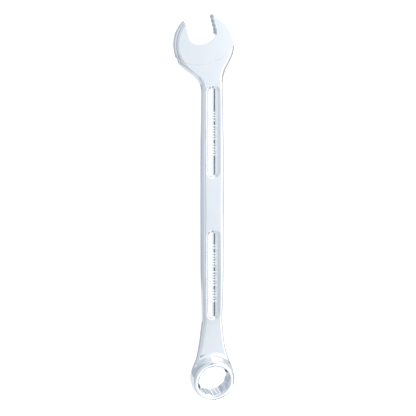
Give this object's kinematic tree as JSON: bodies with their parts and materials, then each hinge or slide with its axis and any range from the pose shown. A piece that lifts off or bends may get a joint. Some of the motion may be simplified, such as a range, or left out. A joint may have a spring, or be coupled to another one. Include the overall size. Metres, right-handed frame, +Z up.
{
  "type": "combination wrench",
  "caption": "One-piece chrome combination wrench: an open end turned to one side, a straight channelled shank and a tilted twelve-point box end.",
  "frame": {"origin": "under the middle of the wrench's footprint, on the surface that it lies on", "axes": "+Y along the shank towards the open end, +Z up out of the face with the raised box end rim, +X to the right"},
  "size_m": [0.0402, 0.2506, 0.0181],
  "materials": {
    "satin_chrome": "bright satin chrome plate on forged steel"
  },
  "bodies": {
    "root": {"open_end": "satin_chrome", "shank": "satin_chrome", "box_end": "satin_chrome"}
  },
  "joints": []
}
